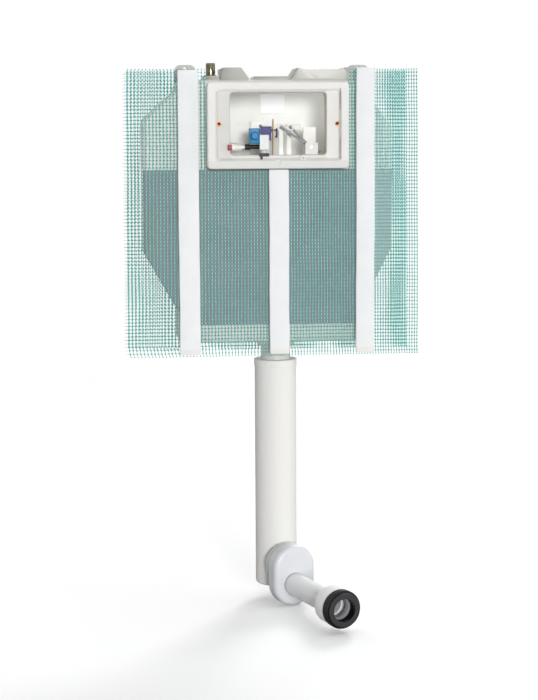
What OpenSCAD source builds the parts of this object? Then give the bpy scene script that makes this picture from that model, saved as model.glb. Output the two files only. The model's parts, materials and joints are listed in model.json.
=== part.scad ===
// Concealed toilet cistern with plaster nets, access frame and flush pipe, in millimetres.
// +X is to the right seen from the front, +Y goes into the wall, +Z is up.
// The origin is midway between the two wall fixing holes, on the plane of the tank's back.

/* [Tank] */
// depth of the tank from front to back
tank_depth = 90; // [86:1:110]
// from the fixing holes down to the tank's underside
tank_height = 473; // [450:1:500]
// how far the left side bulges from the middle
bulge_left = 231; // [210:1:240]
// how far the right side bulges from the middle
bulge_right = 200; // [190:1:220]
// half width of the tank above and below the bulge
column_half = 168; // [166:1:176]
// thickness of the tank wall
wall = 4; // [3:0.5:5]
// distance between the two wall fixing holes
lug_spacing = 304; // [296:2:312]
// diameter of the wall fixing holes
lug_hole = 5.5; // [4.5:0.5:6]

/* [Nets and strips] */
// width of both nets
net_width = 500; // [470:5:520]
// height of both nets
net_height = 487; // [475:1:495]
// width of one thread band in the nets
net_band = 2.6; // [2:0.2:4]
// width of the foam strips
strip_width = 32; // [28:1:36]
// thickness of the foam strips
strip_thick = 8; // [5:1:12]
// distance from the middle to the side strips
strip_offset = 151; // [146:1:154]
// thickness of the insulation on the front
panel_thick = 6; // [4:1:8]

/* [Access frame] */
// outer width of the frame
frame_width = 242; // [236:2:252]
// outer height of the frame
frame_height = 146; // [144:1:152]
// width of the front rim
rim = 14; // [12:1:15]
// how far the rim stands in front of the tank
frame_stand = 26; // [24:1:32]
// distance between the two flush plate inserts
insert_spacing = 202; // [194:2:202]

/* [Inlet] */
// outside diameter of the inlet thread
inlet_diameter = 16.66; // [16:0.02:17]
// how far left of the middle the inlet is
inlet_left = 111; // [108:1:113]

/* [Flush pipe] */
// outside diameter of the tank's outlet tail
neck_diameter = 52; // [50:1:54]
// outside diameter of the foam sleeve
sleeve_diameter = 73; // [71:1:75]
// from the fixing holes down to the bottom of the sleeve
sleeve_bottom = 910; // [890:1:925]

/* [Outlet] */
// angle of the outlet to the right, as photographed
outlet_turn = 19; // [0:1:45]
// how far the coupling steps the outlet off the port
lobe_offset = 29.5; // [26:0.5:32]
// outside diameter of the outlet pipe
outlet_diameter = 40; // [38:1:42]
// from the flush pipe's axis to the front of the seal
outlet_reach = 266; // [220:1:300]
// length of the bell that holds the seal
bell_length = 33; // [26:1:40]
// outside diameter of the pan seal
seal_diameter = 65; // [62:1:70]

/* [Hidden] */
$fn = 64;
front = -tank_depth;
bottom = -tank_height;
deck = -22;
net_top = -5;
net_centre = (bulge_right - bulge_left) / 2 + 6.5;
net_thick = 1;
net_columns = 14;
net_rows = 14;
net_front = front - panel_thick - net_thick;
strip_top = -2;
strip_bottom = net_top - net_height + 1;

// frame
frame_top = -26.5;
frame_bottom = frame_top - frame_height;
rim_front = front - frame_stand;
step_depth = 5;
skin = 3;
window_half = (frame_width - 78) / 2;
window_top = frame_top - 17.5;
window_bottom = frame_bottom + 23.5;
insert_z = (window_top + window_bottom) / 2;
panel_top = frame_bottom - 1.5;
panel_bottom = bottom + 33;
// the left foot of the tank is a little wider
column_left = column_half + 6;

// mechanism heights follow the window's lower edge
lift_z = window_bottom + 149;
flush_y = front + 42;

// levers
pivot_x = 60;
pivot_z = -136 + lift_z;
full_x = 9.3;
half_x = 26.4;
lever_end_z = -102.4 + lift_z;
pin_r = 2.5;
cage_top = -196 + lift_z;

// fill valve
fill_x = -20;
fill_y = front + 30;
arm_pivot_x = -23;
arm_pivot_z = -107 + lift_z;
float_top = -152 + lift_z;

// stop valve
knob_x = -(window_half - 5);
valve_z = -136 + lift_z;
supply_y = fill_y;
fill_left = fill_x - 8;
hose_start = knob_x + 19;
hose_gap = fill_left - hose_start;
hose_end = fill_left - hose_gap * 0.53;

// inlet
inlet_r = inlet_diameter / 2;
inlet_deck = -15;

// flush pipe and outlet
neck_r = neck_diameter / 2;
neck_bottom = bottom - 55;
flange_r = 40 - wall;
pipe_in = neck_r + 0.5;
pipe_out = pipe_in + 2.5;
sleeve_r = sleeve_diameter / 2;
sleeve_top = bottom - 33;
port_z = -sleeve_bottom + 43;
port_r = 24;
collar_front = sleeve_r + 15;
coupling_back = collar_front + 0.5;
coupling_front = coupling_back + 26;
lobe_r = 38.8;
outlet_r = outlet_diameter / 2;
outlet_z = port_z - lobe_offset;
seal_r = seal_diameter / 2;
seal_back = outlet_reach - 19;
bell_r = seal_r - 0.8;
bell_wall = 3.6;
socket_r = bell_r - bell_wall;
socket_depth = bell_length - bell_wall;
plug_depth = 15;

// a box between two corners
module block(x0, x1, y0, y1, z0, z1) {
    translate([x0, y0, z0])
        cube([x1 - x0, y1 - y0, z1 - z0]);
}

// a flat shape drawn in X and Z, from y0 to y1
module plate(y0, y1) {
    translate([0, y1, 0])
        rotate([90, 0, 0])
            linear_extrude(height = y1 - y0)
                children();
}

// round bars along each axis
module bar_x(y, z, x0, x1, r) {
    translate([x0, y, z])
        rotate([0, 90, 0])
            cylinder(r = r, h = x1 - x0);
}

module bar_y(x, z, y0, y1, r) {
    translate([x, y0, z])
        rotate([-90, 0, 0])
            cylinder(r = r, h = y1 - y0);
}

module bar_z(x, y, z0, z1, r) {
    translate([x, y, z0])
        cylinder(r = r, h = z1 - z0);
}

// a flat rectangle with round corners
module round_rect(x0, x1, z0, z1, r) {
    translate([x0 + r, z0])
        square([x1 - x0 - 2 * r, z1 - z0]);
    translate([x0, z0 + r])
        square([x1 - x0, z1 - z0 - 2 * r]);
    for (x = [x0 + r, x1 - r])
        for (z = [z0 + r, z1 - r])
            translate([x, z])
                circle(r);
}

// a convex tank body with rounded corners and eased front and back edges
module eased_body(corners, r, y0, y1, ease) {
    hull()
        for (c = corners) {
            bar_y(c[0], c[1], y0, y1, r - ease, $fn = 32);
            bar_y(c[0], c[1], y0 + ease * 0.3, y1 - ease * 0.3, r - ease * 0.3, $fn = 32);
            bar_y(c[0], c[1], y0 + ease, y1 - ease, r, $fn = 32);
        }
}

// centres of the corner rounds of the bulged middle
bulge_corners = [
    [-column_left + 8, -53],
    [column_half - 16, -64],
    [bulge_right - 16, -106],
    [bulge_right - 16, -304],
    [column_half - 16, bottom + 103],
    [-column_left + 16, bottom + 62],
    [-bulge_left + 16, -310],
    [-bulge_left + 16, -97],
];

// centres of the corner rounds of the upright column
column_corners = [
    [-column_left + 14, deck - 14],
    [column_half - 14, deck - 14],
    [column_half - 14, bottom + 14],
    [-column_left + 14, bottom + 14],
];

// the two ridges on the deck, as seen from the front
module ridge_left(grow) {
    polygon([[-95 - grow, deck - 6 - grow], [-95 - grow, -3 + grow], [-90, -1 + grow], [-60, -1 + grow],
        [-46 + grow, deck + 2], [-46 + grow, deck - 6 - grow]]);
}

module ridge_right(grow) {
    polygon([[24 - grow, deck - 6 - grow], [24 - grow, deck + 2], [36, -2 + grow], [42, -2 + grow],
        [48, -4 + grow], [114, -4 + grow], [118, -1 + grow], [140 + grow, -1 + grow],
        [140 + grow, deck - 6 - grow]]);
}

// a lug on the back edge of the deck, with a rounded top
module lug(x) {
    difference() {
        plate(-14, 0) {
            translate([x - 17, deck - 10])
                square([34, 22]);
            translate([x - 9, deck])
                square([18, 27.5]);
            translate([x - 9, deck + 19.5])
                circle(8);
            translate([x + 9, deck + 19.5])
                circle(8);
            translate([x - 17, deck])
                square([34, 19.5]);
        }
        bar_y(x, 0, -20, 10, lug_hole / 2);
    }
}

module tank() {
    color([0.93, 0.93, 0.90])
        difference() {
            union() {
                eased_body(bulge_corners, 16, front, 0, 7);
                eased_body(column_corners, 14, front, 0, 7);
                plate(front + 10, -10)
                    ridge_left(0);
                plate(front + 10, -10)
                    ridge_right(0);
                block(-inlet_left - 14, -inlet_left + 14, front + 10, -16, deck - 6, inlet_deck);
                block(-38, 20, front + 12, -12, deck - 6, deck + 6);
                for (x = [-lug_spacing / 2, lug_spacing / 2])
                    lug(x);
            }
            eased_body(bulge_corners, 16 - wall, front + wall, -wall, 5);
            eased_body(column_corners, 14 - wall, front + wall, -wall, 5);
            block(-95 + wall, -60, front + 10 + wall, -10 - wall, deck - 8, -1 - wall);
            block(38, 140 - wall, front + 10 + wall, -10 - wall, deck - 8, -4 - wall);
            block(-window_half - 3.5, window_half + 3.5, front - 5, front + 14,
                window_bottom - 3.5, window_top + 3.5);
            bar_z(-inlet_left, supply_y, deck - 20, 20, inlet_r + 0.2);
            bar_z(0, flush_y, bottom - 10, bottom + 20, neck_r + 0.4);
            for (z = [-140, -100])
                bar_y(fill_x, z + lift_z, -wall - 1, -1.5, 1.7);
            block(64, 74, front + 9, front + 11.5, deck + 4, deck + 6.5);
            for (x = [-60, 76])
                bar_y(x, insert_z, -wall - 1, -wall + 1.5, 1.6);
        }
}

module front_insulation() {
    color([0.30, 0.31, 0.32])
        plate(front - panel_thick, front)
            polygon([
                [-bulge_left + 1.5, panel_top],
                [bulge_right - 1.5, panel_top],
                [bulge_right - 1.5, -308],
                [column_half - 3, bottom + 98],
                [column_half - 10, bottom + 84],
                [column_half - 10, panel_bottom],
                [-column_half + 10, panel_bottom],
                [-column_half + 10, bottom + 50],
                [-column_left + 3, bottom + 58],
                [-bulge_left + 1.5, -315],
            ]);
}

// a flat square net of thread bands
module net_sheet() {
    step_x = (net_width - net_band) / net_columns;
    step_z = (net_height - net_band) / net_rows;
    left = net_centre - net_width / 2;
    for (i = [0:net_columns])
        translate([left + i * step_x, net_top - net_height])
            square([net_band, net_height]);
    for (i = [0:net_rows])
        translate([left, net_top - net_height + i * step_z])
            square([net_width, net_band]);
}

module front_net() {
    color([0.55, 0.80, 0.75])
        plate(net_front, net_front + net_thick)
            difference() {
                net_sheet();
                translate([-frame_width / 2 - 1, frame_bottom - 1])
                    square([frame_width + 2, frame_height + 60]);
            }
}

module rear_net() {
    color([0.55, 0.80, 0.75])
        plate(0, net_thick)
            net_sheet();
}

module strip(x, top, width) {
    color([0.95, 0.95, 0.95])
        block(x - width / 2, x + width / 2, net_front - strip_thick, net_front,
            strip_bottom, top);
}

module strip_left() {
    strip(-strip_offset - 2, strip_top - 4, strip_width + 4.4);
}

module strip_centre() {
    strip(1.6, panel_top, strip_width + 3.2);
}

module strip_right() {
    strip(strip_offset, strip_top, strip_width + 1);
}

module access_frame() {
    half = frame_width / 2;
    step_half = half - rim;
    color([0.94, 0.94, 0.92])
        difference() {
            union() {
                difference() {
                    plate(rim_front, front)
                        round_rect(-half, half, frame_bottom, frame_top, 6);
                    plate(rim_front + skin, front + 1)
                        round_rect(-half + skin, half - skin, frame_bottom + skin, frame_top - skin, 4);
                    plate(rim_front - 1, rim_front + 10)
                        round_rect(-step_half, step_half, frame_bottom + rim, frame_top - rim, 4);
                }
                difference() {
                    plate(rim_front, rim_front + step_depth + skin)
                        round_rect(-step_half - skin, step_half + skin,
                            frame_bottom + rim - skin, frame_top - rim + skin, 6);
                    plate(rim_front - 1, rim_front + step_depth)
                        round_rect(-step_half, step_half, frame_bottom + rim, frame_top - rim, 4);
                }
                plate(rim_front + step_depth, front + 6)
                    round_rect(-window_half - skin, window_half + skin,
                        window_bottom - skin, window_top + skin, 8);
                for (x = [-insert_spacing / 2, insert_spacing / 2])
                    bar_y(x, insert_z, rim_front + step_depth, rim_front + step_depth + 12, 7);
                bar_y(42, window_bottom - 5.5, rim_front + 2, rim_front + step_depth + 2, 5);
            }
            bar_y(42, window_bottom - 5.5, rim_front, rim_front + step_depth, 1.8);
            plate(rim_front - 1, front + 20)
                round_rect(-window_half, window_half, window_bottom, window_top, 6);
            for (x = [-insert_spacing / 2, insert_spacing / 2])
                bar_y(x, insert_z, rim_front - 1, rim_front + step_depth + 13, 4);
            for (z = [frame_top - 10 - 36, frame_bottom + 16])
                block(step_half - 2.5, step_half - 0.5, rim_front + step_depth - 1, rim_front + step_depth + 9,
                    z, z + 36);
            plate(rim_front - 1, rim_front + 2)
                polygon([[-5, frame_bottom + rim + 1], [5, frame_bottom + rim + 1], [1, frame_bottom + 5],
                    [-1, frame_bottom + 5]]);
        }
}

module plate_inserts() {
    color([0.62, 0.36, 0.22])
        for (x = [-insert_spacing / 2, insert_spacing / 2])
            difference() {
                bar_y(x, insert_z, rim_front + step_depth - 1, rim_front + step_depth + 12, 4);
                bar_y(x, insert_z, rim_front + step_depth - 2, rim_front + step_depth + 13, 2.1);
            }
}

module edge_clip() {
    clip_back = rim_front + step_depth;
    color([0.05, 0.05, 0.05]) {
        block(-33, -16, clip_back - 2, clip_back + 8, window_bottom, window_bottom + 3);
        block(-33, -16, clip_back - 2, clip_back, window_bottom - 2.5, window_bottom + 3);
        block(-31, -27, clip_back - 2, clip_back, window_bottom - 9, window_bottom + 1);
    }
}

module label_plate() {
    color([0.97, 0.97, 0.97])
        block(-20, 23, -wall - 1.2, -wall, window_top - 34, window_top - 1.5);
}

module inlet_spigot() {
    color([0.72, 0.70, 0.62])
        difference() {
            union() {
                bar_z(-inlet_left, supply_y, -40, 7, inlet_r);
                bar_z(-inlet_left, supply_y, inlet_deck, inlet_deck + 2, inlet_r + 1.5);
            }
            bar_z(-inlet_left, supply_y, -41, 8, 5);
        }
}

module inlet_washer() {
    color([0.12, 0.12, 0.12])
        difference() {
            bar_z(-inlet_left, supply_y, deck - wall - 2, deck - wall, 13);
            bar_z(-inlet_left, supply_y, deck - wall - 3, deck - wall + 1, inlet_r + 0.05);
        }
}

module inlet_locknut() {
    color([0.80, 0.65, 0.35])
        difference() {
            translate([-inlet_left, supply_y, deck - wall - 10])
                cylinder(r = 14, h = 8, $fn = 6);
            bar_z(-inlet_left, supply_y, deck - wall - 11, deck - wall, inlet_r + 0.05);
        }
}

module supply_tube() {
    color([0.93, 0.93, 0.93])
        difference() {
            bar_z(-inlet_left, supply_y, valve_z + 9, -40, 6.5);
            bar_z(-inlet_left, supply_y, valve_z + 8, -39, 4.5);
        }
}

module tube_nuts() {
    color([0.93, 0.93, 0.91]) {
        difference() {
            bar_z(-inlet_left, supply_y, -49, -38.5, 10.5);
            bar_z(-inlet_left, supply_y, -50, -40, 6.55);
            bar_z(-inlet_left, supply_y, -40, -38, inlet_r + 0.05);
        }
        difference() {
            bar_z(-inlet_left, supply_y, valve_z + 9, valve_z + 18, 9.5);
            bar_z(-inlet_left, supply_y, valve_z + 8, valve_z + 19, 6.55);
        }
        difference() {
            bar_x(supply_y, valve_z, knob_x + 12, hose_start, 6);
            bar_x(supply_y, valve_z, knob_x + 11, hose_start + 1, 2.75);
        }
    }
}

module stop_valve_body() {
    color([0.93, 0.93, 0.91])
        difference() {
            union() {
                bar_x(supply_y, valve_z, -inlet_left - 10, knob_x + 12, 8);
                bar_z(-inlet_left, supply_y, valve_z, valve_z + 9, 9);
                bar_y(knob_x, valve_z, supply_y - 20, supply_y, 6);
            }
            bar_x(supply_y, valve_z, -inlet_left - 6, knob_x + 13, 2.7);
            bar_z(-inlet_left, supply_y, valve_z, valve_z + 10, 4.5);
            bar_y(knob_x, valve_z, supply_y - 21, supply_y - 8, 2.6);
        }
}

module stop_valve_knob() {
    knob_front = rim_front + 0.3;
    knob_back = rim_front + step_depth - 0.7;
    color([0.55, 0.12, 0.10]) {
        bar_y(knob_x, valve_z, knob_back - 1, supply_y - 9, 2.54);
        plate(knob_front, knob_back) {
            translate([knob_x - 9.5, valve_z - 5])
                square([7, 10]);
            translate([knob_x - 4, valve_z - 3])
                square([4, 6]);
            translate([knob_x, valve_z])
                circle(4);
        }
    }
}

module supply_hose() {
    color([0.95, 0.95, 0.95])
        difference() {
            bar_x(supply_y, valve_z, knob_x + 8, hose_end, 2.65);
            bar_x(supply_y, valve_z, knob_x + 7, hose_end + 1, 1.6);
        }
}

module hose_nut() {
    color([0.06, 0.06, 0.06])
        difference() {
            union() {
                bar_x(supply_y, valve_z, hose_end - hose_gap * 0.3, hose_end, 5);
                bar_x(supply_y, valve_z, hose_end, fill_left, 3.6);
            }
            bar_x(supply_y, valve_z, hose_end - hose_gap, hose_end, 2.7);
            bar_x(supply_y, valve_z, hose_end - 1, fill_left + 1, 1.6);
        }
}

module fill_valve_body() {
    color([0.88, 0.92, 0.92])
        difference() {
            union() {
                block(-28, -12, fill_y - 12, fill_y + 12, -141 + lift_z, -114 + lift_z);
                bar_z(fill_x, fill_y, -196 + lift_z, -141 + lift_z, 6);
                for (y = [fill_y - 9, fill_y + 6])
                    block(-27, -19, y, y + 3, -114 + lift_z, arm_pivot_z + 4);
            }
            bar_x(fill_y, valve_z, -29, -20, 3);
            bar_z(fill_x, fill_y, -197 + lift_z, valve_z, 3);
            bar_y(arm_pivot_x, arm_pivot_z, fill_y - 10, fill_y + 10, 1.55);
        }
}

module fill_valve_head() {
    color([0.20, 0.55, 0.72]) {
        block(-45, -28, fill_y - 12, fill_y + 12, -130 + lift_z, -104 + lift_z);
        bar_y(-36.5, -117 + lift_z, fill_y - 15, fill_y - 12, 6.5);
    }
}

module fill_holder() {
    color([0.92, 0.92, 0.90])
        difference() {
            union() {
                block(-26, -14, fill_y + 12, -wall - 3, -130 + lift_z, -116 + lift_z);
                block(-38, -2, -wall - 3, -wall, -148 + lift_z, -92 + lift_z);
            }
            for (z = [-140, -100])
                bar_y(fill_x, z + lift_z, -wall - 4, -wall + 1, 1.75);
        }
}

module holder_screws() {
    color([0.62, 0.62, 0.62])
        for (z = [-140, -100]) {
            bar_y(fill_x, z + lift_z, -wall - 3, -1.6, 1.65);
            bar_y(fill_x, z + lift_z, -wall - 5, -wall - 3, 3);
        }
}

module arm_pin() {
    color([0.70, 0.70, 0.70])
        bar_y(arm_pivot_x, arm_pivot_z, fill_y - 10, fill_y + 10, 1.5);
}

module float_arm() {
    color([0.40, 0.42, 0.65])
        difference() {
            union() {
                plate(fill_y - 4.5, fill_y + 2.5) {
                    translate([arm_pivot_x - 2.5, -112 + lift_z])
                        square([19, 11]);
                    translate([-7, -109 + lift_z])
                        square([8.5, 3]);
                }
                block(-11.6, -8.6, fill_y - 15.6, fill_y - 4, -112 + lift_z, -102 + lift_z);
                plate(fill_y - 15.6, fill_y - 12.6) {
                    translate([-26, -115 + lift_z])
                        square([17.4, 13]);
                    translate([-11.6, -125 + lift_z])
                        square([3, 11]);
                }
            }
            bar_y(arm_pivot_x, arm_pivot_z, fill_y - 10, fill_y + 10, 1.55);
        }
}

module arm_clip() {
    color([0.05, 0.05, 0.05])
        plate(fill_y - 4.5, fill_y + 2.5) {
            translate([1.5, -120 + lift_z])
                square([2.2, 16]);
            translate([-0.5, -120 + lift_z])
                square([4, 2]);
        }
}

module float_link() {
    color([0.75, 0.62, 0.42])
        difference() {
            block(-4.7, -3, fill_y - 7, fill_y + 5, float_top, -88 + lift_z);
            block(-6, -2, fill_y - 5, fill_y + 3, -110.3 + lift_z, -104.7 + lift_z);
        }
}

module float() {
    color([0.90, 0.92, 0.92])
        difference() {
            bar_z(fill_x, fill_y, float_top - 36, float_top, 20);
            bar_z(fill_x, fill_y, float_top - 37, float_top - 3, 18);
            bar_z(fill_x, fill_y, float_top - 4, float_top + 1, 6.5);
        }
}

module flush_valve_base() {
    color([0.90, 0.90, 0.90])
        difference() {
            union() {
                bar_z(0, flush_y, neck_bottom, bottom + 14, neck_r);
                bar_z(0, flush_y, bottom + wall + 2, bottom + wall + 6, flange_r);
            }
            bar_z(0, flush_y, neck_bottom - 1, bottom + 15, neck_r - 4);
            difference() {
                bar_z(0, flush_y, neck_bottom + 8, neck_bottom + 11, neck_r + 1);
                bar_z(0, flush_y, neck_bottom + 7, neck_bottom + 12, neck_r - 2);
            }
        }
}

module base_gasket() {
    color([0.10, 0.10, 0.10])
        difference() {
            bar_z(0, flush_y, bottom + wall, bottom + wall + 2, flange_r - 3.5);
            bar_z(0, flush_y, bottom + wall - 1, bottom + wall + 3, neck_r + 0.05);
        }
}

module outlet_locknut() {
    color([0.85, 0.85, 0.85])
        difference() {
            bar_z(0, flush_y, bottom - 9, bottom, neck_r + 6);
            bar_z(0, flush_y, bottom - 10, bottom + 1, neck_r + 0.05);
        }
}

module flush_valve_cage() {
    cage_foot = bottom + wall + 6;
    color([0.93, 0.93, 0.93])
        difference() {
            union() {
                difference() {
                    bar_z(0, flush_y, cage_foot, cage_top, 35);
                    bar_z(0, flush_y, cage_foot - 1, cage_top - 4, 32);
                }
                bar_z(0, flush_y, cage_top - 16, cage_top, 19);
                block(0, 76, flush_y - 33, flush_y, cage_top - 4, cage_top);
            }
            bar_z(0, flush_y, cage_top - 17, cage_top + 1, 15.5);
            for (turn = [45, 135])
                translate([0, flush_y, 0])
                    rotate([0, 0, turn])
                        block(-40, 40, -12, 12, cage_foot + 8, cage_foot + 70);
            for (turn = [45, 135])
                translate([0, flush_y, 0])
                    rotate([0, 0, turn])
                        block(-40, 40, -12, 12, cage_foot + 90, cage_top - 30);
            block(full_x - 6, full_x + 6, front + 18, front + 25, cage_top - 20, cage_top + 1);
            block(half_x - 7, half_x + 3, front + 30, front + 37, cage_top - 10, cage_top + 1);
            for (y = [front + 14, front + 35])
                bar_z(68, y, cage_top - 5, cage_top + 1, 1.6);
        }
}

module overflow_tube() {
    tube_foot = bottom + 18.6;
    color([0.86, 0.88, 0.90])
        difference() {
            union() {
                bar_z(0, flush_y, tube_foot, cage_top - 10, 15);
                bar_z(0, flush_y, tube_foot, tube_foot + 3, 27);
            }
            bar_z(0, flush_y, tube_foot - 1, cage_top - 9, 12.5);
        }
}

module flush_seal() {
    color([0.15, 0.15, 0.16])
        difference() {
            bar_z(0, flush_y, bottom + 14.4, bottom + 18.6, 29);
            bar_z(0, flush_y, bottom + 14, bottom + 19, 12.5);
        }
}

// the slotted head that a lever's pin lifts, with its rod below
module lift_head(x, y0, y1, travel, foot) {
    difference() {
        union() {
            block(x - 6, x + travel + 6, y0, y1, lever_end_z - 5.8, lever_end_z + 5.8);
            block(x - 4, x + 4, y0, y1, foot, lever_end_z);
        }
        block(x - 3.4, x + travel + 3.4, y0 - 1, y1 + 1, lever_end_z - 3.6, lever_end_z + 3.6);
    }
}

module full_lift_rod() {
    ring_top = cage_top - 36;
    color([0.90, 0.90, 0.88])
        difference() {
            union() {
                lift_head(full_x, front + 20, front + 23, 15, ring_top - 8);
                bar_z(0, flush_y, ring_top - 8, ring_top, 18.5);
                block(full_x - 4, full_x + 4, front + 20, flush_y - 14, ring_top - 8, ring_top);
            }
            bar_z(0, flush_y, ring_top - 9, ring_top + 1, 15.05);
        }
}

module half_lift_rod() {
    foot = cage_top - 94;
    color([0.90, 0.90, 0.88]) {
        lift_head(half_x - 2, front + 32, front + 35, 16, foot);
        block(18, half_x + 2, front + 32, front + 41, foot, foot + 3);
    }
}

module half_flush_float() {
    float_z = cage_top - 94;
    color([0.35, 0.55, 0.75])
        difference() {
            bar_z(0, flush_y, float_z - 40, float_z, 25);
            bar_z(0, flush_y, float_z - 41, float_z + 1, 15.8);
        }
}

module lever_bearing() {
    color([0.95, 0.95, 0.95])
        difference() {
            union() {
                block(48, 74, front + 8, front + 41, cage_top, cage_top + 4);
                block(50, 72, front + 8, front + 11, cage_top, pivot_z + 7);
                block(50, 72, front + 38, front + 41, cage_top, pivot_z + 34);
            }
            bar_y(pivot_x, pivot_z, front, front + 50, pin_r);
            for (y = [front + 14, front + 35])
                bar_z(68, y, cage_top - 1, cage_top + 5, 1.6);
        }
}

module bearing_screws() {
    color([0.62, 0.62, 0.62])
        for (y = [front + 14, front + 35]) {
            bar_z(68, y, cage_top - 6, cage_top + 4, 1.5);
            bar_z(68, y, cage_top + 4, cage_top + 6, 2.8);
        }
}

module lever_pin() {
    color([0.70, 0.70, 0.70])
        bar_y(pivot_x, pivot_z, front + 7, front + 42, pin_r);
}

// a lever from its pin to its lifting end, with a short tail
module lever(x, y0, y1) {
    dx = x - pivot_x;
    dz = lever_end_z - pivot_z;
    reach = sqrt(dx * dx + dz * dz);
    difference() {
        union() {
            plate(y0, y1)
                translate([pivot_x, pivot_z])
                    rotate(atan2(dz, dx))
                        translate([0, -2.1])
                            square([reach, 4.2]);
            plate(y0, y1)
                translate([pivot_x, pivot_z])
                    rotate(-28)
                        translate([0, -1.6])
                            square([19, 3.2]);
            bar_y(pivot_x, pivot_z, y0 - 1, y1 + 1, 6);
            bar_y(x, lever_end_z, y0, y1, 2.8);
            bar_y(x, lever_end_z, y1, y1 + 6, 2);
        }
        bar_y(pivot_x, pivot_z, front, front + 50, pin_r + 0.06);
    }
}

module full_flush_lever() {
    color([0.55, 0.57, 0.60])
        lever(full_x, front + 14, front + 18);
}

module half_flush_lever() {
    color([0.45, 0.47, 0.50])
        lever(half_x, front + 26, front + 30);
}

module neck_seal() {
    color([0.08, 0.08, 0.08])
        difference() {
            bar_z(0, flush_y, neck_bottom + 8, neck_bottom + 11, pipe_in - 0.05);
            bar_z(0, flush_y, neck_bottom + 7, neck_bottom + 12, neck_r - 2);
        }
}

// what follows is drawn along the outlet, which runs towards -Y before it is turned
module along_outlet() {
    translate([0, flush_y, 0])
        rotate([0, 0, outlet_turn])
            children();
}

module out_bar(z, d0, d1, r) {
    translate([0, -d1, z])
        rotate([-90, 0, 0])
            cylinder(r = r, h = d1 - d0);
}

module flush_pipe() {
    pipe_bottom = -sleeve_bottom + 6;
    color([0.92, 0.92, 0.92])
        along_outlet()
            difference() {
                union() {
                    bar_z(0, 0, pipe_bottom, sleeve_top, pipe_out);
                    out_bar(port_z, 0, coupling_back + 8.5, port_r);
                }
                bar_z(0, 0, pipe_bottom + 3, sleeve_top + 1, pipe_in);
                out_bar(port_z, 0, coupling_back + 10, port_r - 3);
            }
}

module pipe_sleeve() {
    color([0.95, 0.95, 0.95])
        along_outlet()
            difference() {
                union() {
                    bar_z(0, 0, -sleeve_bottom, sleeve_top, sleeve_r);
                    bar_z(0, 0, sleeve_top - 12, sleeve_top, sleeve_r + 1);
                }
                bar_z(0, 0, -sleeve_bottom - 1, sleeve_top + 1, pipe_out + 0.05);
                out_bar(port_z, 0, sleeve_r + 5, port_r + 0.2);
            }
}

module port_collar() {
    color([0.93, 0.93, 0.93])
        along_outlet()
            difference() {
                out_bar(port_z, sleeve_r, collar_front, 38);
                out_bar(port_z, sleeve_r - 1, collar_front + 1, port_r + 0.05);
            }
}

// half of a round block's section, with one eased edge
module eased_half(r, h, ease) {
    square([r - ease, h]);
    translate([0, ease])
        square([r, h - ease]);
    translate([r - ease, ease])
        circle(ease);
}

// a disc along the outlet, eased round its front edge
module eased_disc(z, d0, d1, r, ease) {
    translate([0, -d1, z])
        rotate([-90, 0, 0])
            rotate_extrude()
                eased_half(r, d1 - d0, ease);
}

// the coupling's outside: two eased discs and what joins them
module eased_lobes(d0, d1, r, ease) {
    eased_disc(port_z, d0, d1, r, ease);
    eased_disc(outlet_z, d0, d1, r, ease);
    translate([0, -d1, outlet_z])
        linear_extrude(height = lobe_offset) {
            eased_half(r, d1 - d0, ease);
            mirror([1, 0])
                eased_half(r, d1 - d0, ease);
        }
}

// the outline of the coupling: two round lobes, one below the other
module lobes(r) {
    translate([0, port_z])
        circle(r);
    translate([0, outlet_z])
        circle(r);
    translate([-r, outlet_z])
        square([2 * r, lobe_offset]);
}

module offset_coupling() {
    color([0.92, 0.92, 0.93])
        along_outlet()
            difference() {
                union() {
                    difference() {
                        eased_lobes(coupling_back, coupling_front, lobe_r, 8);
                        plate(-coupling_front + 5, -coupling_back - 7.5)
                            lobes(lobe_r - 4);
                    }
                    out_bar(outlet_z, coupling_back + 10.5, coupling_front, outlet_r + 4);
                }
                out_bar(port_z, coupling_back - 1, coupling_back + 8, port_r + 0.08);
                out_bar(outlet_z, coupling_back + 9, coupling_front + 1, outlet_r + 0.08);
                out_bar(port_z, coupling_back + 2.5, coupling_back + 5, port_r + 2.5);
                out_bar(outlet_z, coupling_front - 5, coupling_front - 2.5, outlet_r + 2.5);
            }
}

module coupling_seals() {
    color([0.08, 0.08, 0.08])
        along_outlet() {
            difference() {
                out_bar(port_z, coupling_back + 2.5, coupling_back + 5, port_r + 2.5);
                out_bar(port_z, coupling_back + 2, coupling_back + 6, port_r + 0.05);
            }
            difference() {
                out_bar(outlet_z, coupling_front - 5, coupling_front - 2.5, outlet_r + 2.5);
                out_bar(outlet_z, coupling_front - 6, coupling_front - 2, outlet_r + 0.05);
            }
        }
}

module outlet_pipe() {
    color([0.93, 0.93, 0.94])
        along_outlet()
            difference() {
                union() {
                    out_bar(outlet_z, coupling_back + 10, seal_back - socket_depth, outlet_r);
                    out_bar(outlet_z, seal_back - bell_length, seal_back, bell_r);
                }
                out_bar(outlet_z, coupling_back, outlet_reach, outlet_r - 2);
                out_bar(outlet_z, seal_back - socket_depth, seal_back + 1, socket_r);
            }
}

module pan_seal() {
    color([0.04, 0.04, 0.04])
        along_outlet()
            difference() {
                union() {
                    out_bar(outlet_z, seal_back - plug_depth, seal_back, socket_r);
                    out_bar(outlet_z, seal_back, seal_back + 11, seal_r);
                    out_bar(outlet_z, seal_back, outlet_reach, seal_r - 3.5);
                }
                out_bar(outlet_z, seal_back - plug_depth - 1, outlet_reach + 1, outlet_r - 0.5);
            }
}

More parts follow.
